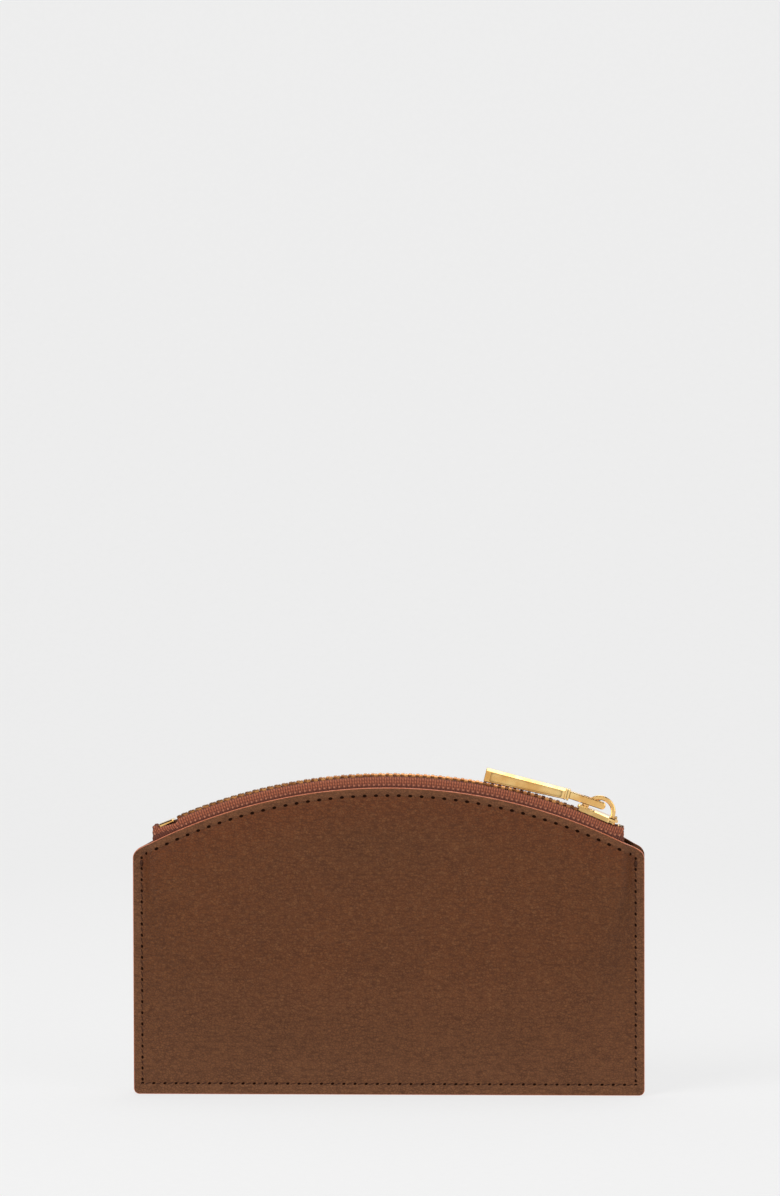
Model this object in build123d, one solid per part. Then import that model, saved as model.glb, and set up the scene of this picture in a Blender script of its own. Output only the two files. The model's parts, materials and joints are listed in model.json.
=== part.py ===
from build123d import *
import math
import os

# A flat leather pouch with an arched zip along its top, standing on its base seam.
# Millimetres. +Z is up, +X is to the right of someone facing the front, and the front faces -Y.
# The origin is the middle of the base seam, on the surface that the pouch stands on.
# The arched edge and the whole zip share one centre line, the arch axis, which runs along Y.

# Panels
width = 130.0
arch_top = 78.5
arch_radius = 135.5
top_corner = 2.0
base_corner = 1.7
lining_thickness = 0.4
stiffener_thickness = 0.5
leather_thickness = 1.2
pocket_half_depth = 2.6

# Where the pouch swells from its flat seam: the foot of the slope, then its head
swell_foot = (62.2, 3.5)
swell_head_low = (46.0, 16.0)
swell_head_high = (60.4, 55.0)
above_arch = 90.0

# Radii about the arch axis
stiffener_top_radius = 128.3
lining_top_radius = 134.5
tape_bottom_radius = 128.5
chain_radius = 137.7

# Tape, its bead and the cord in the bead
tape_thickness = 0.5
tape_half_length = 59.7
tape_flat_half = 2.4
bead_offset = 1.5
bead_radius = 0.5
cord_radius = 0.28
cord_gap = 0.02
cord_end_gap = 1.0

# Teeth
tooth_pitch = 1.9
tooth_count = 58
first_tooth_angle = -22.6
tooth_width = 1.0
tooth_height = 2.2
tooth_inner = 0.55
tooth_outer = 2.1
head_width = 0.84
head_reach = 0.42
tooth_chamfer = 0.2
clamp_gap = 0.03

# Stops
bottom_stop_angle = -24.1
bottom_stop_size = (4.1, 5.2, 2.1)
bottom_stop_tilt = 3.0
bottom_stop_rise = -0.1
bottom_stop_corner = 0.4
bottom_stop_chamfer = 0.3
top_stop_angle = 25.2
top_stop_length = 1.6
top_stop_inner = 0.75

# Slider
slider_angle = 22.45
slider_half_length = 5.5
plate_thickness = 0.8
plate_under_radius = 138.95
base_plate_radius = 135.7
base_plate_thickness = 0.7
base_plate_half_width = 2.75
flange_thickness = 0.6
flange_drop = 0.65
base_flange_thickness = 0.3
base_flange_rise = 0.6
rail_start = -4.9
flange_end = 3.3
base_flange_end = 2.5
plate_corner = 0.5
plate_chamfer = 0.3

# Bridge over the slider, and the lugs that hold its feet
bridge_outer = 4.15
bridge_inner = 3.0
bridge_half_width = 0.75
bridge_shift = 0.2
bridge_fillet = 0.25
lug_length = 0.6
lug_height = 0.6
lug_gap = 0.03
lug_chamfer = 0.15

# Pull
pivot_rise = 1.75
pull_slope = 14.6
tip_radius = 0.94
pull_half_width = 1.7
slot_start = 0.55
slot_end = 5.0
slot_half_width = 1.0
neck_top_drop = 0.35
neck_base_rise = 0.45
neck_fillet = 0.25
collar_start = 8.6
collar_end = 9.9
collar_proud = 0.1
collar_chamfer = 0.15
collar_groove_half = 0.12
collar_groove_depth = 0.25
bar_end = 30.6
bar_top_rise = 1.9
bar_end_height = 3.5
bar_collar_height = 2.7
bar_top_chamfer = 0.6
bar_base_fillet = 0.3
bar_end_chamfer = 0.15
recess_depth = 0.7
recess_end_wall = 1.4
recess_floor_rim = 0.35
recess_top_rim = 0.75
recess_collar_wall = 0.6
recess_corner = 0.3
tenon_radius = 0.9
tenon_length = 1.1

# Stitches
stitch_pitch = 2.87
stitch_length = 2.1
stitch_width = 0.5
stitch_height = 0.25
mouth_stitch_inset = 2.0
side_stitch_inset = 2.2
base_stitch_inset = 2.8
mouth_stitch_end = 61.2
base_stitch_end = 2.0
side_stitch_start = 1.2
tack_length = 1.6

# Far enough to pass right through any piece of the slider or pull
beyond = 9.0

# Worked out from the values above
arch_centre = arch_top - arch_radius
arch_axis = Axis((0, 0, arch_centre), (0, 1, 0))
lining_face = lining_thickness
stiffener_face = lining_face + stiffener_thickness
seam_face = stiffener_face + leather_thickness
panel_face = pocket_half_depth + seam_face
tape_inner = pocket_half_depth + lining_face
tape_outer = tape_inner + tape_thickness
bend_outer = tape_outer - tape_flat_half
bend_inner = bend_outer - tape_thickness
bend_radius = chain_radius + tape_thickness / 2 - bend_outer
plate_top_radius = plate_under_radius + plate_thickness
pivot_radius = plate_top_radius + pivot_rise


def between(left, right, low, high):
    """A rectangle by its four sides."""
    return Pos((left + right) / 2, (low + high) / 2) * Rectangle(right - left, high - low)


def toward_front(shape, near, far):
    """A flat shape given across and up, as a solid from near to far in front of the middle."""
    return extrude(Plane.XZ.offset(near) * shape, far - near)


def across(shape, half_width):
    """A flat shape given across and up, as a solid of equal depth before and behind the middle."""
    return toward_front(shape, -half_width, half_width)


def upward(shape, low_radius, high_radius):
    """A flat shape given across and back, as a solid standing at the arch's crown."""
    return extrude(Plane.XY.offset(arch_centre + low_radius) * shape, high_radius - low_radius)


def to_back(solid):
    return mirror(solid, about=Plane.XZ)


def at_angle(solid, degrees):
    """Turns a solid about the arch axis, from the crown to the right."""
    return solid.rotate(arch_axis, degrees)


def group(solids):
    return Compound([one.solid() for one in solids])


# Panels


def outline(top_radius):
    sheet = between(-width / 2, width / 2, 0, above_arch) & (Pos(0, arch_centre) * Circle(top_radius))
    sheet = fillet(sheet.vertices().sort_by(Axis.Y)[:2], base_corner)
    return fillet(sheet.vertices().sort_by(Axis.Y)[-2:], top_corner)


def swell_ring(low, high):
    """The six corners around the swell, with its two ends above the arch."""
    right = [low, high, (high[0], above_arch)]
    left = [(-x, z) for x, z in reversed(right)]
    return make_face(Polyline(*right, *left, close=True))


def envelope(depth):
    """Everything from the middle to a surface that lies this deep at the seam."""
    foot = swell_ring(swell_foot, (swell_foot[0], swell_head_high[1]))
    head = swell_ring(swell_head_low, swell_head_high)
    lower = Plane.XZ.offset(depth) * foot
    upper = Plane.XZ.offset(depth + pocket_half_depth) * head
    swell = loft([lower.face(), upper.face()], ruled=True)
    if depth == 0:
        return swell
    return toward_front(between(-width, width, -width, width), 0, depth) + swell


def layer(inner, outer, top_radius):
    sheet = toward_front(outline(top_radius), 0, panel_face + 1)
    return (sheet & envelope(outer)) - envelope(inner)


def leather_panel():
    return layer(stiffener_face, seam_face, arch_radius)


def stiffener():
    return layer(lining_face, stiffener_face, stiffener_top_radius)


def lining():
    return layer(0, lining_face, lining_top_radius)


# Zip tape, made behind the middle and mirrored for the front


def around_arch(section, half_length):
    """Sweeps a section, given as back and up, along the arch until its middle is this far out."""
    half_angle = math.degrees(math.asin(half_length / chain_radius))
    swept = revolve(Plane.YZ * section, axis=arch_axis, revolution_arc=2 * half_angle)
    return at_angle(swept, -half_angle)


def zip_tape():
    up = arch_centre
    wall = between(tape_inner, tape_outer, up + tape_bottom_radius, up + bend_radius)
    bend = Circle(bend_outer) - Circle(bend_inner)
    bend = Pos(tape_flat_half, up + bend_radius) * (bend & between(0, bend_outer, 0, bend_outer))
    half = tape_thickness / 2
    flat = between(bead_offset, tape_flat_half, up + chain_radius - half, up + chain_radius + half)
    bead = Pos(bead_offset, up + chain_radius) * Circle(bead_radius)
    bore = Pos(bead_offset, up + chain_radius) * Circle(cord_radius + cord_gap)
    upright_ends = Box(2 * tape_half_length, 40, 4 * arch_radius)
    return around_arch(wall + bend + flat + bead - bore, tape_half_length + 5) & upright_ends


def tape_cord():
    cord = Pos(bead_offset, arch_centre + chain_radius) * Circle(cord_radius)
    return around_arch(cord, tape_half_length - cord_end_gap)


def tape_space(length):
    """The room that a piece clamped to the tape leaves for it."""
    bead = Cylinder(bead_radius + clamp_gap, length, rotation=(0, 90, 0))
    flat_height = tape_thickness + 2 * clamp_gap
    flat = Pos(0, tape_outer / 2, 0) * Box(length, tape_outer, flat_height)
    return Pos(0, bead_offset, arch_centre + chain_radius) * (bead + flat)


# Teeth


def tooth():
    body = between(-tooth_width / 2, tooth_width / 2, tooth_inner, tooth_outer)
    head = between(-head_width / 2, head_width / 2, -head_reach, tooth_inner)
    low = chain_radius - tooth_height / 2
    block = upward(body + head, low, low + tooth_height)
    tops = block.faces().sort_by(Axis.Z)
    block = chamfer(tops[-1].edges() + tops[0].edges(), tooth_chamfer)
    return block - tape_space(2 * tooth_width)


def teeth(shift):
    """The whole row for one side, which starts this share of a pitch along."""
    step = math.degrees(tooth_pitch / chain_radius)
    one = tooth()
    return group(at_angle(one, first_tooth_angle + (n + shift) * step) for n in range(tooth_count))


# Stops


def bottom_stop():
    length, depth, height = bottom_stop_size
    plan = fillet(between(-length / 2, length / 2, -depth / 2, depth / 2).vertices(), bottom_stop_corner)
    block = extrude(plan, height)
    block = chamfer(block.faces().sort_by(Axis.Z)[-1].edges(), bottom_stop_chamfer)
    low = chain_radius + bottom_stop_rise - height / 2
    block = Pos(0, 0, arch_centre + low) * (Rot(0, bottom_stop_tilt, 0) * block)
    channel = tape_space(3 * length)
    return at_angle(block - channel - to_back(channel), bottom_stop_angle)


def top_stop():
    plan = between(-top_stop_length / 2, top_stop_length / 2, top_stop_inner, tooth_outer)
    low = chain_radius - tooth_height / 2
    block = upward(fillet(plan.vertices(), tooth_chamfer), low, low + tooth_height)
    block = chamfer(block.faces().sort_by(Axis.Z)[-1].edges(), tooth_chamfer)
    return at_angle(block - tape_space(2 * top_stop_length), top_stop_angle)


# Slider, made at the arch's crown and turned to its place, with its wide nose to the right


def slider_plan():
    back = [(-5.5, 2.7), (-1.0, 3.2), (3.0, 3.9), (4.7, 3.5), (5.5, 1.9)]
    front = [(along, -out) for along, out in reversed(back)]
    plan = make_face(Polyline(*back, *front, close=True))
    return fillet(plan.vertices(), plate_corner)


def slider_lug(side):
    """A small block that stands against the outside of one foot of the bridge."""
    near = bridge_outer + lug_gap
    middle = bridge_shift + side * (near + lug_length / 2)
    reach = bridge_half_width
    lug = between(middle - lug_length / 2, middle + lug_length / 2, -reach, reach)
    lug = upward(lug, plate_top_radius, plate_top_radius + lug_height)
    return chamfer(lug.faces().sort_by(Axis.Z)[-1].edges(), lug_chamfer)


def slider_body():
    plan = slider_plan()
    plate = upward(plan, plate_under_radius, plate_top_radius)
    plate = chamfer(plate.faces().sort_by(Axis.Z)[-1].edges(), plate_chamfer)
    side = (plan - offset(plan, -flange_thickness)) & between(rail_start, flange_end, 0, beyond)
    flange = upward(side, plate_under_radius - flange_drop, plate_under_radius)
    reach = base_plate_half_width
    base_plan = plan & between(-slider_half_length, slider_half_length, -reach, reach)
    base_top = base_plate_radius + base_plate_thickness
    base = upward(base_plan, base_plate_radius, base_top)
    lip = between(rail_start, base_flange_end, reach - base_flange_thickness, reach)
    lip = upward(lip, base_top, base_top + base_flange_rise)
    wedge = Polyline((1.9, 0), (3.0, 0.75), (4.4, 0.9), (5.0, 0), (4.4, -0.9), (3.0, -0.75), close=True)
    wedge = upward(make_face(wedge), base_top, plate_under_radius)
    body = plate + wedge + base + slider_lug(-1) + slider_lug(1)
    for rail in (flange, lip):
        body += rail + to_back(rail)
    return at_angle(body, slider_angle)


def slider_bridge():
    ring = (Circle(bridge_outer) - Circle(bridge_inner)) & between(-beyond, beyond, 0, beyond)
    ring = across(Pos(bridge_shift, arch_centre + plate_top_radius) * ring, bridge_half_width)
    ring = fillet(ring.edges().filter_by(GeomType.CIRCLE), bridge_fillet)
    return at_angle(ring, slider_angle)


# Pull, made about its pivot with its bar level to the left, then sloped and turned to its place


def place_pull(solid):
    sloped = Rot(0, pull_slope - slider_angle, 0) * solid
    return at_angle(Pos(bridge_shift, 0, arch_centre + pivot_radius) * sloped, slider_angle)


def tip_tangent(corner, turn):
    """Where a line from this corner touches the round tip, on the side that turn picks."""
    angle = math.atan2(corner[1], corner[0]) + turn * math.acos(tip_radius / math.hypot(*corner))
    return (tip_radius * math.cos(angle), tip_radius * math.sin(angle))


def bar_floor(along):
    """Height of the underside of the bar, which gets deeper away from the collar."""
    share = (-collar_end - along) / (bar_end - collar_end)
    return bar_top_rise - bar_collar_height - share * (bar_end_height - bar_collar_height)


def pull_neck():
    low = bar_floor(-collar_end)
    high = bar_top_rise
    upper = (-collar_start, high - neck_top_drop)
    lower = (-collar_start, low + neck_base_rise)
    upper_touch = tip_tangent(upper, -1)
    lower_touch = tip_tangent(lower, 1)
    tip = ThreePointArc(lower_touch, (tip_radius, 0), upper_touch)
    side = make_face([*Polyline(upper_touch, upper, lower, lower_touch).edges(), tip])
    neck = across(side, pull_half_width)
    neck = fillet(neck.faces().filter_by(Axis.Y).edges(), neck_fillet)
    collar = between(-collar_end, -collar_start, low - collar_proud, high + collar_proud)
    collar = across(collar, pull_half_width + collar_proud)
    collar = chamfer(collar.edges(), collar_chamfer)
    middle = -(collar_start + collar_end) / 2
    half = collar_groove_half
    groove = across(between(middle - half, middle + half, -beyond, beyond), beyond)
    inset = collar_groove_depth - collar_proud
    core = between(-collar_end, -collar_start, low + inset, high - inset)
    collar = (collar - groove) + across(core, pull_half_width - inset)
    slot = across(between(-slot_end, -slot_start, -beyond, beyond), slot_half_width)
    bore = Cylinder(tenon_radius + clamp_gap, 2 * (tenon_length + clamp_gap), rotation=(0, 90, 0))
    bore = Pos(-collar_end, 0, (low + high) / 2) * bore
    return place_pull(neck + collar - slot - bore)


def pull_bar():
    high = bar_top_rise
    near = -collar_end
    far = -bar_end
    side = Polyline((far, bar_floor(far)), (near, bar_floor(near)), (near, high), (far, high), close=True)
    bar = across(make_face(side), pull_half_width)
    bar = chamfer(bar.faces().sort_by(Axis.Z)[-1].edges().filter_by(Axis.X), bar_top_chamfer)
    bar = fillet(bar.faces().sort_by(Axis.Z)[0].edges().sort_by(SortBy.LENGTH)[-2:], bar_base_fillet)
    bar = chamfer(bar.faces().sort_by(Axis.X)[0].edges(), bar_end_chamfer)
    near -= recess_collar_wall
    far += recess_end_wall
    top = high - recess_top_rim
    floor = [(x, bar_floor(x) + recess_floor_rim) for x in (far, near)]
    recess = make_face(Polyline(*floor, (near, top), (far, top), close=True))
    recess = fillet(recess.vertices(), recess_corner)
    recess = toward_front(recess, pull_half_width - recess_depth, beyond)
    tenon = Cylinder(tenon_radius, 2 * tenon_length, rotation=(0, 90, 0))
    tenon = Pos(-collar_end, 0, (bar_floor(-collar_end) + high) / 2) * tenon
    return place_pull(bar + tenon - recess - to_back(recess))


# Stitches


def stitch(length):
    """One stitch lying along X on the plane of the middle, and standing out to the front."""
    return toward_front(between(-length / 2, length / 2, -stitch_width / 2, stitch_width / 2), 0, stitch_height)


def mouth_stitches():
    radius = arch_radius - mouth_stitch_inset
    half_angle = math.degrees(math.asin(mouth_stitch_end / radius))
    count = round(2 * radius * math.radians(half_angle) / stitch_pitch)
    one = Pos(0, -panel_face, arch_centre + radius) * stitch(stitch_length)
    step = 2 * half_angle / count
    flat_half_angle = math.degrees(math.asin((swell_head_high[0] - stitch_length / 2) / radius))
    angles = [-half_angle + (n + 0.5) * step for n in range(count)]
    return group(at_angle(one, angle) for angle in angles if abs(angle) < flat_half_angle)


def seam_stitches():
    side = width / 2 - side_stitch_inset
    base_half = side - base_stitch_end
    base_count = round(2 * base_half / stitch_pitch)
    base_step = 2 * base_half / base_count
    laid = Pos(0, -seam_face, 0) * stitch(stitch_length)
    placed = [Pos(-base_half + (n + 0.5) * base_step, 0, base_stitch_inset) * laid for n in range(base_count)]
    corner_radius = arch_radius - mouth_stitch_inset
    side_top = arch_centre + math.sqrt(corner_radius**2 - side**2) - tack_length
    side_low = base_stitch_inset + side_stitch_start
    side_count = round((side_top - side_low) / stitch_pitch)
    side_step = (side_top - side_low) / side_count
    upright = Pos(0, -seam_face, 0) * (Rot(0, 90, 0) * stitch(stitch_length))
    tack = Pos(0, -seam_face, side_top + tack_length / 2) * (Rot(0, 90, 0) * stitch(tack_length))
    for end in (-side, side):
        placed += [Pos(end, 0, side_low + (n + 0.5) * side_step) * upright for n in range(side_count)]
        placed.append(Pos(end, 0, 0) * tack)
    return group(placed)


def save(name, shape):
    export_step(shape, os.path.join("parts", name + ".step"))


os.makedirs("parts", exist_ok=True)

# Pieces made in front of the middle, each with a mirrored twin behind
for kind, shape in (
    ("leather_panel", leather_panel()),
    ("stiffener", stiffener()),
    ("lining", lining()),
    ("mouth_stitches", mouth_stitches()),
    ("seam_stitches", seam_stitches()),
):
    save("front_" + kind, shape)
    save("back_" + kind, to_back(shape))

# Pieces made behind the middle, each with a mirrored twin in front
for kind, shape in (("zip_tape", zip_tape()), ("tape_cord", tape_cord()), ("top_stop", top_stop())):
    save("back_" + kind, shape)
    save("front_" + kind, to_back(shape))

# The two rows of teeth mesh, so the front one starts half a pitch behind
save("front_zip_teeth", to_back(teeth(0)))
save("back_zip_teeth", teeth(0.5))

save("bottom_stop", bottom_stop())
save("slider_body", slider_body())
save("slider_bridge", slider_bridge())
save("pull_neck", pull_neck())
save("pull_bar", pull_bar())
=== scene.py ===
import json
import math

import bmesh
import bpy
from mathutils import Matrix, Vector


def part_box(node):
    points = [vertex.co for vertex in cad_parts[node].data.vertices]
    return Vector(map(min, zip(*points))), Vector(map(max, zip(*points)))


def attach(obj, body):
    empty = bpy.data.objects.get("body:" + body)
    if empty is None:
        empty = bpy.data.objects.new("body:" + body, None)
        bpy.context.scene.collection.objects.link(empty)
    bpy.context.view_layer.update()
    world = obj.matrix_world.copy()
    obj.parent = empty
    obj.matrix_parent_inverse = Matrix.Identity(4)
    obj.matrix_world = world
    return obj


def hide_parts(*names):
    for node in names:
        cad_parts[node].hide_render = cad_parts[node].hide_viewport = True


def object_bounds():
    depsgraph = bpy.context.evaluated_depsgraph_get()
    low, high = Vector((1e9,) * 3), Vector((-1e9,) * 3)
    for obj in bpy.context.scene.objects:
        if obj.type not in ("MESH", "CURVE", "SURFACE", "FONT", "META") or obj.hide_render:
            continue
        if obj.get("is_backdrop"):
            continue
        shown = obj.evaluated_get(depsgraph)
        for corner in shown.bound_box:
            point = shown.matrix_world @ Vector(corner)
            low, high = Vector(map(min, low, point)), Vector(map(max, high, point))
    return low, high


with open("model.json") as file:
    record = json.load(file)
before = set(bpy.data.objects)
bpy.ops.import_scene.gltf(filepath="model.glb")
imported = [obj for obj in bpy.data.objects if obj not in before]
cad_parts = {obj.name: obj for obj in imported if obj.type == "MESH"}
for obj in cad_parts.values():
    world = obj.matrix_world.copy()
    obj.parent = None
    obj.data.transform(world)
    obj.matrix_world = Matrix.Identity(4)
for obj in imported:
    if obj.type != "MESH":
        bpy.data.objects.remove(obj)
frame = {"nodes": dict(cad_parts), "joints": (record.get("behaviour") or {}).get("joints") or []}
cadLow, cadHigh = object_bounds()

mm = 0.001
scene = bpy.context.scene
scene.view_settings.view_transform = "Standard"

# The frame gives the places: the arch axis is the slider's own hinge, and the panels fill the outline
joints = {joint["name"]: joint for joint in frame["joints"]}
archAxis = Vector(joints["slider_travel"]["pos_m"])
panelLow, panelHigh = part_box("front_leather_panel")
halfWidth = panelHigh.x
archRadius = panelHigh.z - archAxis.z
seamFace = -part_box("front_seam_stitches")[1].y  # outer face of the leather at the flat seam
mouthFace = -panelLow.y  # outer face of the leather where the pouch is full
swellDepth = mouthFace - seamFace
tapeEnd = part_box("front_zip_tape")[1].x


# Camera, from a little above and to the right

cameraView = {
    "azimuth": 2.6,
    "elevation": 2.3,
    "roll": -0.15,
    "lens": 150.0,
    "pouchShare": 0.6565,
    "aim": Vector((0.58, 0, 126.35)) * mm,
}


def placeCamera(view):
    data = bpy.data.cameras.new("camera")
    camera = bpy.data.objects.new("camera", data)
    scene.collection.objects.link(camera)
    azimuth = math.radians(view["azimuth"])
    elevation = math.radians(view["elevation"])
    frameWidth = 2 * halfWidth * math.cos(azimuth) / view["pouchShare"]
    frameHeight = frameWidth * 1196 / 780
    data.lens = view["lens"]
    distance = frameHeight * data.lens / data.sensor_width
    level = math.cos(elevation)
    back = Vector((math.sin(azimuth) * level, -math.cos(azimuth) * level, math.sin(elevation)))
    camera.location = view["aim"] + back * distance
    turn = Matrix.Rotation(math.radians(view["roll"]), 3, back)
    camera.rotation_euler = (turn @ (-back).to_track_quat("-Z", "Y").to_matrix()).to_euler()
    data.clip_start = 0.05
    data.clip_end = 20
    scene.camera = camera


placeCamera(cameraView)
print("camera placed")


# Small helpers for meshes


def smooth(t):
    t = min(1.0, max(0.0, t))
    return t * t * (3 - 2 * t)


def allOf(bm):
    return bm.verts[:] + bm.edges[:] + bm.faces[:]


def facesOf(verts):
    return {face for vert in verts for face in vert.link_faces}


def paint(verts, index):
    for face in facesOf(verts):
        face.material_index = index


def backHalf(bm):
    # Turns a front piece into its twin behind the middle
    bmesh.ops.scale(bm, vec=(1, -1, 1), verts=bm.verts[:])
    bmesh.ops.reverse_faces(bm, faces=bm.faces[:])


def makePiece(name, bm, materials, replaced=()):
    mesh = bpy.data.meshes.new(name)
    bm.to_mesh(mesh)
    bm.free()
    for material in materials:
        mesh.materials.append(material)
    mesh.shade_smooth()
    piece = bpy.data.objects.new(name, mesh)
    scene.collection.objects.link(piece)
    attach(piece, "pouch")
    if replaced:
        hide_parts(*replaced)
    return piece


# Small helpers for materials


def linear(red, green, blue):
    def one(value):
        value /= 255
        return value / 12.92 if value <= 0.04045 else ((value + 0.055) / 1.055) ** 2.4

    return (one(red), one(green), one(blue), 1)


class Finish:
    # A material with its shader, and short ways to add nodes to it
    def __init__(self, name, roughness, metallic=0.0):
        self.material = bpy.data.materials.new(name)
        self.material.use_nodes = True
        self.tree = self.material.node_tree
        self.shader = self.tree.nodes["Principled BSDF"]
        self.shader.inputs["Roughness"].default_value = roughness
        self.shader.inputs["Metallic"].default_value = metallic
        self.spot = self.tree.nodes.new("ShaderNodeTexCoord")

    def add(self, kind, settings=None, **inputs):
        node = self.tree.nodes.new("ShaderNode" + kind)
        for key, value in (settings or {}).items():
            setattr(node, key, value)
        for key, value in inputs.items():
            self.feed(node.inputs[key], value)
        return node

    def feed(self, socket, value):
        if isinstance(value, bpy.types.NodeSocket):
            self.tree.links.new(value, socket)
        else:
            socket.default_value = value

    def math(self, operation, first, second=0.0, third=0.0):
        node = self.tree.nodes.new("ShaderNodeMath")
        node.operation = operation
        for socket, value in zip(node.inputs, (first, second, third)):
            self.feed(socket, value)
        return node.outputs[0]

    def place(self, scale=(1, 1, 1)):
        return self.add("Mapping", Vector=self.spot.outputs["Object"], Scale=scale).outputs[0]

    def noise(self, place, scale, detail=3.0, roughness=0.5, distortion=0.0):
        values = {"Scale": scale, "Detail": detail, "Roughness": roughness, "Distortion": distortion}
        return self.add("TexNoise", Vector=place, **values).outputs["Fac"]

    def ramp(self, value, low, high, first=0.0, second=1.0):
        node = self.add("MapRange", {"clamp": True})
        for socket, number in zip(node.inputs, (value, low, high, first, second)):
            self.feed(socket, number)
        return node.outputs[0]

    def mix(self, share, first, second):
        node = self.tree.nodes.new("ShaderNodeMix")
        node.data_type = "RGBA"
        self.feed(node.inputs[0], share)
        self.feed(node.inputs[6], first)
        self.feed(node.inputs[7], second)
        return node.outputs[2]

    def colour(self, value):
        self.feed(self.shader.inputs["Base Color"], value)

    def rough(self, value):
        self.feed(self.shader.inputs["Roughness"], value)

    def bump(self, height, distance, strength=1.0):
        values = {"Height": height, "Distance": distance, "Strength": strength}
        node = self.add("Bump", **values)
        before = self.shader.inputs["Normal"].links
        if before:
            self.feed(node.inputs["Normal"], before[0].from_socket)
        self.feed(self.shader.inputs["Normal"], node.outputs[0])


# Materials

leatherLook = {
    "middle": (101, 58, 30),
    "warm": (108, 50, 20),
    "cool": (96, 57, 31),
    "pale": (124, 82, 50),
    "low": (112, 74, 50),
    "valley": (56, 30, 17),
    "rim": (114, 74, 48),
    "grainScale": 1650.0,
    "creaseScale": 1500.0,
    "grainHeight": 0.08 * mm,
    "creaseHeight": 0.12 * mm,
    "grainWander": 0.7 * mm,
    "mouthFade": (12 * mm, 3 * mm),
    "mouthRim": (2.1 * mm, 1.7 * mm),
    "sideRim": (2.5 * mm, 2.0 * mm),
    "baseRim": (2.6 * mm, 3.0 * mm),
    "floorLightFade": (6 * mm, 34 * mm),
    "gloss": 0.14,
}


def fromArch(finish):
    # Distance of a point from the arch axis, in metres
    parts = finish.add("SeparateXYZ", Vector=finish.spot.outputs["Object"])
    up = finish.math("SUBTRACT", parts.outputs[2], archAxis.z)
    across = finish.math("MULTIPLY", parts.outputs[0], parts.outputs[0])
    squares = finish.math("ADD", across, finish.math("MULTIPLY", up, up))
    return finish.math("SQRT", squares)


def leatherFinish(look):
    finish = Finish("leather", 0.5)
    place = finish.place()
    wander = finish.noise(place, 180.0, 2.0)
    offset = finish.add("VectorMath", {"operation": "MULTIPLY_ADD"})
    drift = finish.add("TexNoise", Vector=place, Scale=700.0, Detail=2.0)
    finish.feed(offset.inputs[0], drift.outputs["Color"])
    offset.inputs[1].default_value = (look["grainWander"],) * 3
    finish.feed(offset.inputs[2], finish.place((0.75, 1, 1.1)))
    edgeCells = {"feature": "DISTANCE_TO_EDGE"}
    cells = finish.add("TexVoronoi", edgeCells, Vector=offset.outputs[0], Scale=look["grainScale"])
    grain = finish.ramp(cells.outputs["Distance"], 0.0, 0.18)
    crease = finish.noise(finish.place((0.30, 1, 1)), look["creaseScale"], 2.0, 0.4, 0.3)
    creases = finish.ramp(crease, 0.36, 0.60)
    fine = finish.noise(place, 4200.0, 2.0)
    patches = finish.noise(place, 22.0, 2.0)
    tone = finish.mix(finish.ramp(patches, 0.35, 0.68), linear(*look["cool"]), linear(*look["middle"]))
    toArch = fromArch(finish)
    # Painted shade: redder and a little darker below the mouth, where the panel curves over
    fadeStart, fadeEnd = look["mouthFade"]
    mouthShade = finish.ramp(toArch, archRadius - fadeStart, archRadius - fadeEnd)
    tone = finish.mix(finish.math("MULTIPLY", mouthShade, 0.3), tone, linear(*look["warm"]))
    # Painted light: the margins outside the stitching along the mouth, the sides and the base are
    # painted lighter where they stand raised
    rimStart, rimEnd = look["mouthRim"]
    mouthRim = finish.ramp(toArch, archRadius - rimStart, archRadius - rimEnd)
    parts = finish.add("SeparateXYZ", Vector=place)
    # Painted light: the lower part of the panel is painted lighter, standing in for light from the floor
    # in front
    floorLight = finish.ramp(parts.outputs[2], *look["floorLightFade"], 0.5, 0.0)
    tone = finish.mix(floorLight, tone, linear(*look["low"]))
    specks = finish.noise(place, 1150.0, 3.0, 0.6)
    tone = finish.mix(finish.ramp(specks, 0.5, 0.72, 0.0, 0.5), tone, linear(*look["pale"]))
    fromMiddle = finish.math("ABSOLUTE", parts.outputs[0])
    rimStart, rimEnd = look["sideRim"]
    sideRim = finish.ramp(fromMiddle, halfWidth - rimStart, halfWidth - rimEnd, 0.0, 0.85)
    baseRim = finish.ramp(parts.outputs[2], *look["baseRim"], 0.75, 0.0)
    seamRim = finish.math("MAXIMUM", sideRim, baseRim)
    rim = finish.math("MAXIMUM", seamRim, finish.math("MULTIPLY", mouthRim, 0.8))
    tone = finish.mix(rim, tone, linear(*look["rim"]))
    # The grain lines and creases are painted darker: painted shade in their valleys, over the leather's
    # own tone
    depth = finish.ramp(grain, 0.0, 1.0, 0.62, 0.0)
    shade = finish.math("MULTIPLY", depth, finish.ramp(wander, 0.3, 0.7, 0.65, 1.0))
    tone = finish.mix(shade, tone, linear(*look["valley"]))
    tone = finish.mix(finish.ramp(creases, 0.0, 0.7, 0.3, 0.0), tone, linear(*look["valley"]))
    finish.colour(tone)
    finish.rough(finish.ramp(fine, 0.3, 0.7, 0.40, 0.54))
    finish.shader.inputs["Specular IOR Level"].default_value = look["gloss"]
    finish.bump(creases, look["creaseHeight"], 0.5)
    finish.bump(grain, look["grainHeight"], 0.6)
    finish.bump(fine, 0.012 * mm, 0.5)
    return finish.material


def edgeFinish():
    # Coated cut edge of the leather, lighter and redder than its face
    finish = Finish("leatherEdge", 0.42)
    streaks = finish.noise(finish.place((1, 4, 1)), 900.0, 3.0)
    share = finish.ramp(streaks, 0.3, 0.7)
    finish.colour(finish.mix(share, linear(172, 90, 58), linear(206, 126, 90)))
    finish.bump(streaks, 0.03 * mm, 0.5)
    return finish.material


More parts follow.
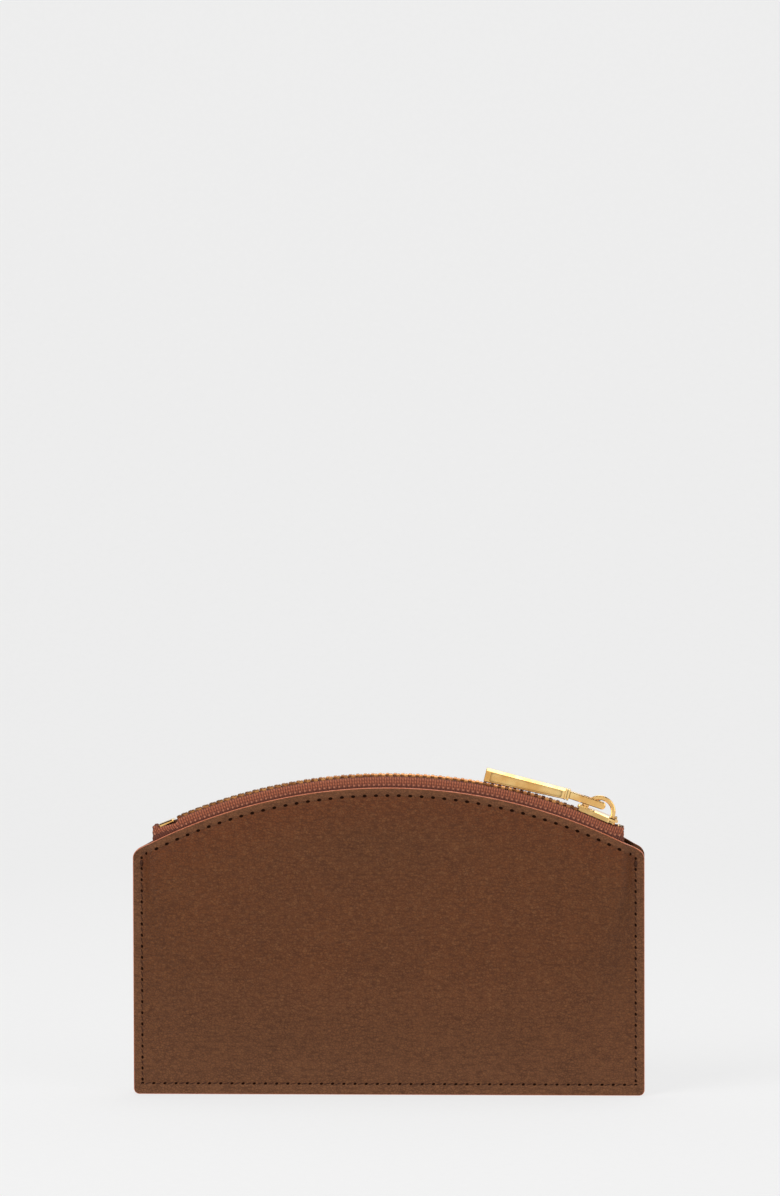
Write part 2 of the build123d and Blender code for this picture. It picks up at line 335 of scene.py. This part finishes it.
def threadFinish(name, dark, light):
    finish = Finish(name, 0.6)
    twist = finish.noise(finish.place(), 4200.0, 2.0)
    finish.colour(finish.mix(finish.ramp(twist, 0.35, 0.65), linear(*dark), linear(*light)))
    finish.bump(twist, 0.05 * mm, 0.8)
    finish.shader.inputs["Specular IOR Level"].default_value = 0.15
    return finish.material


def holeFinish():
    finish = Finish("needleHole", 0.9)
    spots = finish.noise(finish.place(), 3000.0)
    # Painted shade: the hole's depth is drawn as a near-black disc
    finish.colour(finish.mix(spots, linear(16, 6, 2), linear(34, 16, 8)))
    finish.shader.inputs["Specular IOR Level"].default_value = 0.02
    return finish.material


# Painted shade colour for gold in recesses and gaps
paintedShadeGold = (92, 54, 22)


def goldFinish(name, light, dark, roughness):
    # Polished plating, with painted shade where one face shades another
    finish = Finish(name, roughness, 1.0)
    # Painted reflection: broad patches of lighter and darker gold
    reflectionPatches = finish.noise(finish.place(), 240.0, 2.0)
    scratches = finish.noise(finish.place((1, 1, 14)), 900.0, 3.0, 0.6)
    tone = finish.mix(finish.ramp(reflectionPatches, 0.35, 0.7), linear(*light), linear(*dark))
    # Painted shade: darker gold in recesses and gaps, from ambient occlusion
    occlusion = finish.add("AmbientOcclusion", {"samples": 6, "only_local": True}, Distance=1.6 * mm)
    tone = finish.mix(finish.ramp(occlusion.outputs["AO"], 0.25, 0.75, 0.9, 0.0), tone, linear(*paintedShadeGold))
    finish.colour(tone)
    finish.rough(finish.ramp(scratches, 0.35, 0.7, roughness, roughness + 0.08))
    finish.bump(scratches, 0.004 * mm, 0.35)
    return finish.material


def tapeFinish():
    # Woven tape: ribs across it, a yarn twist in each rib, and a row of loops beside the leather
    finish = Finish("zipTape", 0.75)
    parts = finish.add("SeparateXYZ", Vector=finish.spot.outputs["UV"])
    along = parts.outputs[0]
    up = parts.outputs[1]

    def wave(value, pitch):
        return finish.math("SINE", finish.math("MULTIPLY", value, 2 * math.pi / pitch))

    ribs = finish.ramp(wave(along, tapeSizes["ribPitch"]), -0.9, 0.5)
    slant = wave(finish.math("ADD", along, up), 0.9 * mm)
    fuzz = finish.noise(finish.place(), 2600.0, 3.0)
    twist = finish.math("MULTIPLY", finish.math("ADD", wave(up, 0.75 * mm), slant), 0.5)
    yarn = finish.ramp(finish.math("ADD", twist, fuzz), -0.6, 1.9)
    tone = finish.mix(yarn, linear(120, 54, 30), linear(176, 100, 64))
    # Painted shade in the valleys between the ribs
    tone = finish.mix(finish.ramp(ribs, 0.0, 0.7, 0.8, 0.0), tone, linear(74, 28, 12))
    edge = loopRow["height"]
    band = loopRow["band"]
    inBand = finish.ramp(finish.math("COMPARE", up, edge, band), 0.4, 0.6)
    loops = finish.math("MULTIPLY", finish.ramp(wave(along, loopRow["pitch"]), 0.0, 0.6), inBand)
    # Painted shadow: the tape is darkened just above the leather's edge, which shades it
    edgeShadow = finish.ramp(up, edge - band, edge + 3 * band, 0.75, 0.0)
    tone = finish.mix(edgeShadow, tone, linear(72, 28, 14))
    tone = finish.mix(finish.math("MULTIPLY", loops, 0.75), tone, linear(184, 118, 86))
    finish.colour(tone)
    finish.bump(ribs, 0.12 * mm, 0.7)
    finish.bump(yarn, 0.05 * mm, 0.6)
    finish.shader.inputs["Sheen Weight"].default_value = 0.08
    finish.shader.inputs["Sheen Roughness"].default_value = 0.4
    return finish.material


def liningFinish():
    finish = Finish("lining", 0.85)
    parts = finish.add("SeparateXYZ", Vector=finish.spot.outputs["Object"])
    across = finish.math("ADD", parts.outputs[0], parts.outputs[2])
    twill = finish.math("SINE", finish.math("MULTIPLY", across, 2 * math.pi / (0.7 * mm)))
    fuzz = finish.noise(finish.place(), 1500.0, 3.0)
    shade = finish.ramp(finish.math("ADD", twill, fuzz), -0.5, 1.5)
    finish.colour(finish.mix(shade, linear(64, 44, 32), linear(104, 78, 58)))
    finish.bump(shade, 0.06 * mm, 0.7)
    return finish.material


def boardFinish():
    finish = Finish("stiffenerBoard", 0.9)
    fibres = finish.noise(finish.place((0.3, 1, 1)), 800.0, 4.0)
    finish.colour(finish.mix(fibres, linear(132, 112, 88), linear(176, 156, 130)))
    finish.bump(fibres, 0.05 * mm, 0.5)
    return finish.material


# Tape sizes are here because its finish follows its ribs and its row of loops

loopRow = {"pitch": 1.27 * mm, "height": 7.65 * mm, "band": 0.22 * mm}

tapeSizes = {
    "wall": 3.25 * mm,
    "crest": 137.98 * mm,
    "dip": (2.3 * mm, 137.72 * mm),
    "beadOffset": 1.5 * mm,
    "beadRadius": 0.5 * mm,
    "bend": 0.5 * mm,
    "bottomRadius": 128.5 * mm,
    "topRadius": 137.7 * mm,
    "thickness": 0.46 * mm,
    "ribPitch": 1.9 / 3 * mm,
    "ribHeight": 0.07 * mm,
    "stepsPerRib": 4,
    "runPast": 4 * mm,
    "lowerCuts": 11,
    "foldFade": 1.2 * mm,
    "riseFade": (131 * mm, 4 * mm),
    "pressFade": (135.5 * mm, 2 * mm),
    "beadEnd": 0.3 * mm,
    "beadSteps": 200,
    "leftRise": (1.0 * mm, -52 * mm, -59.2 * mm),
    "rightRise": (0.75 * mm, 56.5 * mm, 59.7 * mm),
    "stopDip": 1.0 * mm,
    "stopFade": 0.9 * mm,
}

leather = leatherFinish(leatherLook)
leatherEdge = edgeFinish()
thread = threadFinish("thread", (74, 42, 24), (106, 68, 42))
seamThread = threadFinish("seamThread", (44, 22, 12), (76, 44, 26))
needleHole = holeFinish()
polishedGold = goldFinish("polishedGold", (254, 216, 146), (230, 174, 100), 0.09)
toothGold = goldFinish("toothGold", (216, 156, 98), (142, 86, 50), 0.22)
tapeWeave = tapeFinish()
liningCloth = liningFinish()
board = boardFinish()
print("materials made")


# Panels: one grid for every layer, shaped to the outline and swelled over the pocket

swellSizes = {
    "sideFoot": 2.6 * mm,
    "baseFoot": 3.5 * mm,
    "baseHead": 24 * mm,
    "lowHead": 42 * mm,
    "highHead": 59.4 * mm,
    "widenStart": 14 * mm,
    "widenRun": 42 * mm,
}
stitching = {
    "pitch": 2.87 * mm,
    "mouthInset": 2.0 * mm,
    "sideInset": 2.25 * mm,
    "baseInset": 2.8 * mm,
    "cornerGap": 1.5 * mm,
    "sideStart": 3.8 * mm,
    "sideEnd": 0.4 * mm,
    "groove": 0.13 * mm,
    "grooveWidth": 0.55 * mm,
    "pucker": 0.05 * mm,
}


def archHeight(x, radius):
    return archAxis.z + math.sqrt(radius * radius - x * x)


def swell(x, z):
    # How far the pocket pushes a layer out, none along the seam and full at the mouth
    upward = smooth((z - swellSizes["widenStart"]) / swellSizes["widenRun"])
    reach = swellSizes["lowHead"] + (swellSizes["highHead"] - swellSizes["lowHead"]) * upward
    foot = halfWidth - swellSizes["sideFoot"]
    side = smooth((foot - abs(x)) / (foot - reach))
    baseRun = swellSizes["baseHead"] - swellSizes["baseFoot"]
    base = smooth((z - swellSizes["baseFoot"]) / baseRun)
    return swellDepth * side * base


def roundCorner(x, z, top, radius):
    across = (abs(x) - halfWidth + radius) / radius
    upward = max(z - top + radius, radius - z) / radius
    if across <= 0 or upward <= 0:
        return x, z
    share = max(across, upward) / math.hypot(across, upward)
    newX = math.copysign(halfWidth - radius + across * share * radius, x)
    newZ = top - radius + upward * share * radius if z > top / 2 else radius - upward * share * radius
    return newX, newZ


def gridLines(low, high, step, edges):
    inner = [low + edge for edge in edges] + [high - edge for edge in edges]
    start = low + edges[-1]
    end = high - edges[-1]
    count = round((end - start) / step)
    middle = [start + (end - start) * n / count for n in range(1, count)]
    return sorted(inner + middle)


def seamRow(start, end):
    # First hole, last hole and an even step between holes
    return start, end, (end - start) / round((end - start) / stitching["pitch"])


sideX = halfWidth - stitching["sideInset"]
mouthRadius = archRadius - stitching["mouthInset"]
mouthReach = mouthRadius * math.asin((sideX - stitching["cornerGap"]) / mouthRadius)
mouthRow = seamRow(-mouthReach, mouthReach)
sideRow = seamRow(stitching["sideStart"], archHeight(sideX, mouthRadius) - stitching["sideEnd"])
baseRow = seamRow(-sideX, sideX)


def stitchDent(x, z):
    # The stitched groove, and the leather drawn down at each hole in it
    radius = math.hypot(x, z - archAxis.z)
    fromMouth = abs(radius - mouthRadius), math.atan2(x, z - archAxis.z) * radius, mouthRow
    fromSide = abs(abs(x) - sideX), z, sideRow
    fromBase = abs(z - stitching["baseInset"]), x, baseRow
    across, along, (start, end, step) = min(fromMouth, fromSide, fromBase)
    fall = math.exp(-((across / stitching["grooveWidth"]) ** 2))
    wave = math.cos(2 * math.pi * (along - start) / step)
    return fall * (stitching["groove"] + stitching["pucker"] * wave)


seamBand = 4 * mm  # rows this near the base or the top edge keep their shape


def layerMesh(layer):
    # A sheet from its outer depth to its inner depth, in front of the middle
    edges = layer["edges"]
    top = archHeight(halfWidth, layer["topRadius"])
    columns = gridLines(-halfWidth, halfWidth, layer["step"], edges)
    rows = gridLines(0, top, layer["step"], edges)
    bm = bmesh.new()
    bmesh.ops.create_grid(bm, x_segments=len(columns) - 1, y_segments=len(rows) - 1, size=1)
    for vert in bm.verts:
        x = columns[round((vert.co.x + 1) / 2 * (len(columns) - 1))]
        z = rows[round((vert.co.y + 1) / 2 * (len(rows) - 1))]
        x, z = roundCorner(x, z, top, layer["corner"])
        lift = min(1.0, max(0.0, (z - seamBand) / (top - 2 * seamBand)))
        vert.co = (x, 0, z + lift * (archHeight(x, layer["topRadius"]) - top))
    thickness = layer["outer"] - layer["inner"]
    made = bmesh.ops.extrude_face_region(bm, geom=bm.faces[:])["geom"]
    innerVerts = [item for item in made if isinstance(item, bmesh.types.BMVert)]
    bmesh.ops.translate(bm, vec=(0, thickness, 0), verts=innerVerts)
    bmesh.ops.recalc_face_normals(bm, faces=bm.faces[:])
    if layer["round"]:
        rim = [edge for edge in bm.edges if max(abs(vert.co.y) for vert in edge.verts) < 1e-7]
        rim = [edge for edge in rim if any(abs(face.normal.y) < 0.5 for face in edge.link_faces)]
        bmesh.ops.bevel(bm, geom=rim, offset=layer["round"], offset_type="OFFSET", segments=3,
                        profile=0.5, affect="EDGES", material=-1)
        bm.normal_update()
        for face in bm.faces:
            if abs(face.normal.y) < 0.93:
                face.material_index = 1
    for vert in bm.verts:
        x, y, z = vert.co
        dent = stitchDent(x, z) * (1 - y / thickness) if layer["stitched"] else 0
        vert.co.y = y - layer["outer"] - swell(x, z) + dent
    return bm


leatherSheet = {
    "inner": seamFace - 1.2 * mm,
    "outer": seamFace,
    "topRadius": archRadius,
    "corner": 1.45 * mm,
    "round": 0.32 * mm,
    "step": 0.75 * mm,
    "edges": [step * mm for step in (0, 0.4, 0.9, 1.3, 1.6, 1.85, 2.1, 2.35, 2.6, 2.9, 3.3, 3.9)],
    "stitched": True,
}
stiffenerSheet = dict(
    leatherSheet,
    inner=0.4 * mm,
    outer=0.9 * mm,
    topRadius=128.3 * mm,
    round=0,
    step=2.2 * mm,
    edges=[0, 1.2 * mm],
    stitched=False,
)
liningSheet = dict(stiffenerSheet, inner=0.0, outer=0.4 * mm, topRadius=134.5 * mm)

# The back panel was cut with its right shoulder a little high
backShoulder = {"rise": 0.7 * mm, "start": 42 * mm, "run": 20 * mm, "fade": 60 * mm}


def raiseShoulder(bm):
    for vert in bm.verts:
        share = smooth((vert.co.x - backShoulder["start"]) / backShoulder["run"])
        vert.co.z += backShoulder["rise"] * share * smooth(vert.co.z / backShoulder["fade"])


for side in ("front", "back"):
    for kind, sizes, materials, slot in (
        ("leather_panel", leatherSheet, (leather, leatherEdge), "leather"),
        ("stiffener", stiffenerSheet, (board,), "stiffener"),
        ("lining", liningSheet, (liningCloth,), "lining"),
    ):
        bm = layerMesh(sizes)
        if side == "back":
            backHalf(bm)
            raiseShoulder(bm)
        makePiece(side + "_" + kind + "_shaped", bm, materials, [side + "_" + kind])
print("panels made")


# Stitches: a thread between every two needle holes, each hole with a raised lip

stitchShape = {
    "threadLength": 1.75 * mm,
    "threadWidth": 0.44 * mm,
    "threadHeight": 0.19 * mm,
    "holeRadius": 0.37 * mm,
    "holeStretch": 1.45,
    "sunk": 0.03 * mm,
    "lip": 0.13 * mm,
    "depth": 0.07 * mm,
    "lipShare": 0.2,
    "wallShare": 0.12,
    "seamScale": 0.8,
    "seamSlant": 16.0,
    "tack": 2.2,
}


def surfaceY(x, z):
    return -seamFace - swell(x, z) + stitching["groove"]


def holesAlong(row):
    start, end, step = row
    return [start + n * step for n in range(round((end - start) / step) + 1)]


def mouthHoles():
    angles = [along / mouthRadius for along in holesAlong(mouthRow)]
    return [Vector((math.sin(angle), 0, math.cos(angle))) * mouthRadius + archAxis for angle in angles]


def seamHoles():
    for x in (-sideX, sideX):
        yield [Vector((x, 0, z)) for z in holesAlong(sideRow)]
    yield [Vector((x, 0, stitching["baseInset"])) for x in holesAlong(baseRow)]


def layAlong(spot, direction, slant=0.0):
    # Local X along the stitch, local Z out of the leather
    angle = math.atan2(direction.z, direction.x) + math.radians(slant)
    place = Matrix.Translation((spot.x, surfaceY(spot.x, spot.z), spot.z))
    return place @ Matrix.Rotation(-angle, 4, "Y") @ Matrix.Rotation(math.radians(90), 4, "X")


def addThread(bm, start, end, scale, slant):
    middle = (start + end) / 2
    halfLength = stitchShape["threadLength"] / 2
    halfWide = stitchShape["threadWidth"] / 2 * scale
    size = Matrix.Diagonal((halfLength, halfWide, stitchShape["threadHeight"] * scale, 1))
    place = layAlong(middle, end - start, slant) @ size
    made = bmesh.ops.create_uvsphere(bm, u_segments=8, v_segments=6, radius=1, matrix=place)
    paint(made["verts"], 0)


def addHole(bm, spot, direction, scale, slant):
    stretch = Matrix.Diagonal((stitchShape["holeStretch"], 1, 1, 1))
    sink = Matrix.Translation((0, 0, -stitchShape["sunk"]))
    place = layAlong(spot, direction, slant) @ sink @ stretch
    radius = stitchShape["holeRadius"] * scale
    made = bmesh.ops.create_circle(bm, cap_ends=True, radius=radius, segments=10, matrix=place)
    paint(made["verts"], 1)
    centre = list(facesOf(made["verts"]))
    lipWide = radius * stitchShape["lipShare"]
    bmesh.ops.inset_region(bm, faces=centre, thickness=lipWide, depth=stitchShape["lip"])
    centre[0].material_index = 2
    wallWide = radius * stitchShape["wallShare"]
    bmesh.ops.inset_region(bm, faces=centre, thickness=wallWide, depth=-stitchShape["depth"])


def stitchRow(bm, holes, scale=1.0, slant=0.0):
    for n, spot in enumerate(holes):
        before = holes[max(0, n - 1)]
        after = holes[min(len(holes) - 1, n + 1)]
        addHole(bm, spot, after - before, scale, slant)
        if n:
            addThread(bm, before, spot, scale, slant)


for side in ("front", "back"):
    mouth = bmesh.new()
    stitchRow(mouth, mouthHoles())
    seam = bmesh.new()
    for holes in seamHoles():
        stitchRow(seam, holes, stitchShape["seamScale"], stitchShape["seamSlant"])
        if holes[-1].z > holes[0].z:
            addThread(seam, holes[-2], holes[-1], stitchShape["tack"], 0)
    for name, bm, colour in (("mouth_stitches", mouth, thread), ("seam_stitches", seam, seamThread)):
        if side == "back":
            backHalf(bm)
            raiseShoulder(bm)
        finishes = (colour, leather, needleHole)
        makePiece(side + "_" + name + "_sewn", bm, finishes, [side + "_" + name])
print("stitches made")


# Zip tape: a bent strip turned along the arch, with its ribs and its bead


def endRise(x):
    # Both ends of the tape stand a little above the arch that its teeth follow
    rise = 0
    for height, start, end in (tapeSizes["leftRise"], tapeSizes["rightRise"]):
        rise += height * smooth((x - start) / (end - start))
    return rise


stopLow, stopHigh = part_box("bottom_stop")


def stopPress(x):
    # The bottom stop holds the shoulder of the tape down
    off = max(stopLow.x - x, x - stopHigh.x, 0)
    return tapeSizes["stopDip"] * (1 - smooth(off / tapeSizes["stopFade"]))


def fadeUp(radius, fade):
    start, run = fade
    return smooth((radius - start) / run)


def tapeStrip(sizes):
    bm = bmesh.new()
    foot = (sizes["wall"], sizes["bottomRadius"])
    shoulder = (sizes["wall"], sizes["crest"])
    corners = [foot, shoulder, sizes["dip"], (sizes["beadOffset"], sizes["topRadius"])]
    verts = [bm.verts.new((0, -out, archAxis.z + radius)) for out, radius in corners]
    for pair in zip(verts, verts[1:]):
        bm.edges.new(pair)
    bmesh.ops.bevel(bm, geom=[verts[1]], offset=sizes["bend"], segments=4, profile=0.5,
                    affect="VERTICES", material=-1)
    lower = max(bm.edges, key=lambda edge: edge.calc_length())
    bmesh.ops.subdivide_edges(bm, edges=[lower], cuts=sizes["lowerCuts"])
    reach = math.asin((tapeEnd + sizes["runPast"]) / sizes["topRadius"])
    steps = round(2 * reach * sizes["topRadius"] / sizes["ribPitch"] * sizes["stepsPerRib"])
    turnBack = Matrix.Rotation(-reach, 3, "Y")
    bmesh.ops.rotate(bm, cent=archAxis, matrix=turnBack, verts=bm.verts[:])
    bmesh.ops.spin(bm, geom=bm.verts[:] + bm.edges[:], cent=archAxis, axis=(0, 1, 0),
                   angle=2 * reach, steps=steps)
    for sign in (-1, 1):
        bmesh.ops.bisect_plane(bm, geom=allOf(bm), plane_co=(sign * tapeEnd, 0, 0),
                               plane_no=(sign, 0, 0), clear_outer=True)
    bmesh.ops.recalc_face_normals(bm, faces=bm.faces[:])
    bm.normal_update()
    uvLayer = bm.loops.layers.uv.new("weave")
    for face in bm.faces:
        for loop in face.loops:
            x, y, z = loop.vert.co
            radius = math.hypot(x, z - archAxis.z)
            along = math.atan2(x, z - archAxis.z) * sizes["topRadius"]
            loop[uvLayer].uv = (along, radius - sizes["bottomRadius"] + sizes["wall"] + y)
    for vert in bm.verts:
        x, y, z = vert.co
        radius = math.hypot(x, z - archAxis.z)
        along = math.atan2(x, z - archAxis.z) * sizes["topRadius"]
        rib = math.cos(2 * math.pi * along / sizes["ribPitch"]) * sizes["ribHeight"]
        share = smooth((-y - sizes["beadOffset"]) / sizes["foldFade"])
        vert.co += vert.normal * rib * share
        vert.co.y += (swellDepth - swell(x, z)) * share
        vert.co.z += endRise(x) * fadeUp(radius, sizes["riseFade"])
        vert.co.z -= stopPress(x) * fadeUp(radius, sizes["pressFade"])
    return bm


def tapeBead(sizes):
    bm = bmesh.new()
    middle = Matrix.Translation((0, -sizes["beadOffset"], archAxis.z + sizes["topRadius"]))
    place = middle @ Matrix.Rotation(math.radians(90), 4, "Y")
    bmesh.ops.create_circle(bm, cap_ends=False, radius=sizes["beadRadius"], segments=10, matrix=place)
    reach = math.asin((tapeEnd - sizes["beadEnd"]) / sizes["topRadius"])
    turnBack = Matrix.Rotation(-reach, 3, "Y")
    bmesh.ops.rotate(bm, cent=archAxis, matrix=turnBack, verts=bm.verts[:])
    first = bm.edges[:]
    made = bmesh.ops.spin(bm, geom=first, cent=archAxis, axis=(0, 1, 0), angle=2 * reach,
                          steps=sizes["beadSteps"])
    last = [item for item in made["geom_last"] if isinstance(item, bmesh.types.BMEdge)]
    bmesh.ops.edgeloop_fill(bm, edges=first)
    bmesh.ops.edgeloop_fill(bm, edges=last)
    for vert in bm.verts:
        vert.co.z += endRise(vert.co.x) - stopPress(vert.co.x)
    bmesh.ops.recalc_face_normals(bm, faces=bm.faces[:])
    return bm


for side in ("front", "back"):
    strip = tapeStrip(tapeSizes)
    bead = tapeBead(tapeSizes)
    if side == "back":
        backHalf(strip)
        backHalf(bead)
    piece = makePiece(side + "_zip_tape_woven", strip, (tapeWeave,), [side + "_zip_tape"])
    body = piece.modifiers.new("cloth thickness", "SOLIDIFY")
    body.thickness = tapeSizes["thickness"]
    body.offset = 0
    makePiece(side + "_tape_bead", bead, (tapeWeave,))
print("tape made")


# Metal, and the cords hidden in the beads: these CAD shapes stay, with their own finishes


def dress(node, material):
    slots = frame["nodes"][node].data.materials
    slots.clear()
    slots.append(material)


zipMetal = ("slider_body", "slider_bridge", "pull_neck", "pull_bar")
zipStops = ("bottom_stop", "front_top_stop", "back_top_stop")
for node in zipMetal + zipStops:
    dress(node, polishedGold)
for node in ("front_zip_teeth", "back_zip_teeth"):
    dress(node, toothGold)
for node in ("front_tape_cord", "back_tape_cord"):
    dress(node, thread)
print("metal dressed")


# Pale floor that curves up behind, and soft light

studio = {
    "paper": (238, 238, 238),
    "glow": 0.824,
    "front": -4.5,
    "depth": 1.2,
    "height": 1.6,
    "width": 9.0,
    "curve": 0.6,
}


def paperFinish(look):
    finish = Finish("paper", 0.9)
    speckle = finish.noise(finish.place(), 400.0, 2.0)
    tone = finish.mix(speckle, linear(112, 112, 112), linear(118, 118, 118))
    finish.colour(tone)
    finish.shader.inputs["Specular IOR Level"].default_value = 0.0
    finish.shader.inputs["Emission Color"].default_value = linear(*look["paper"])
    finish.shader.inputs["Emission Strength"].default_value = look["glow"]
    return finish.material


def paperSweep(look):
    bm = bmesh.new()
    front = bm.verts.new((0, look["front"], 0))
    corner = bm.verts.new((0, look["depth"], 0))
    top = bm.verts.new((0, look["depth"], look["height"]))
    bm.edges.new((front, corner))
    bm.edges.new((corner, top))
    bmesh.ops.bevel(bm, geom=[corner], offset=look["curve"], segments=16, profile=0.5,
                    affect="VERTICES", material=-1)
    made = bmesh.ops.extrude_edge_only(bm, edges=bm.edges[:])["geom"]
    moved = [item for item in made if isinstance(item, bmesh.types.BMVert)]
    bmesh.ops.translate(bm, vec=(look["width"], 0, 0), verts=moved)
    bmesh.ops.translate(bm, vec=(-look["width"] / 2, 0, 0), verts=bm.verts[:])
    bmesh.ops.recalc_face_normals(bm, faces=bm.faces[:])
    mesh = bpy.data.meshes.new("floor")
    bm.to_mesh(mesh)
    bm.free()
    mesh.materials.append(paperFinish(look))
    mesh.shade_smooth()
    floor = bpy.data.objects.new("floor", mesh)
    scene.collection.objects.link(floor)
    floor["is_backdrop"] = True


lamps = {
    "key": {"spot": (-0.75, -0.8, 0.8), "size": 0.8, "power": 11.0},
    "fill": {"spot": (0.9, -0.8, 0.4), "size": 0.9, "power": 6.0},
    "top": {"spot": (0.1, 0.15, 1.0), "size": 0.6, "power": 4.2, "gloss": 0.4},
}


def addLamp(name, lamp):
    data = bpy.data.lights.new(name, "AREA")
    data.size = lamp["size"]
    data.energy = lamp["power"]
    data.specular_factor = lamp.get("gloss", 1.0)
    light = bpy.data.objects.new(name, data)
    light.location = lamp["spot"]
    target = Vector((0, 0, 0.04))
    light.rotation_euler = (target - light.location).to_track_quat("-Z", "Y").to_euler()
    scene.collection.objects.link(light)


room = {"fade": (0.05, 0.75), "horizon": 0.62, "overhead": 0.06}


def roomLight():
    # Brighter round the horizon than overhead, so that polished metal has something to mirror
    world = bpy.data.worlds.new("room")
    world.use_nodes = True
    scene.world = world
    tree = world.node_tree
    background = tree.nodes["Background"]
    spot = tree.nodes.new("ShaderNodeTexCoord")
    parts = tree.nodes.new("ShaderNodeSeparateXYZ")
    fade = tree.nodes.new("ShaderNodeMapRange")
    tree.links.new(spot.outputs["Generated"], parts.inputs[0])
    tree.links.new(parts.outputs[2], fade.inputs[0])
    for socket, value in zip(fade.inputs[1:5], (*room["fade"], room["horizon"], room["overhead"])):
        socket.default_value = value
    tree.links.new(fade.outputs[0], background.inputs["Strength"])
    background.inputs["Color"].default_value = (1, 0.99, 0.97, 1)


paperSweep(studio)
for name, lamp in lamps.items():
    addLamp(name, lamp)
roomLight()
print("studio made")

newLow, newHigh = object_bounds()
sizes = {"cad": [list(cadLow), list(cadHigh)], "visual": [list(newLow), list(newHigh)]}
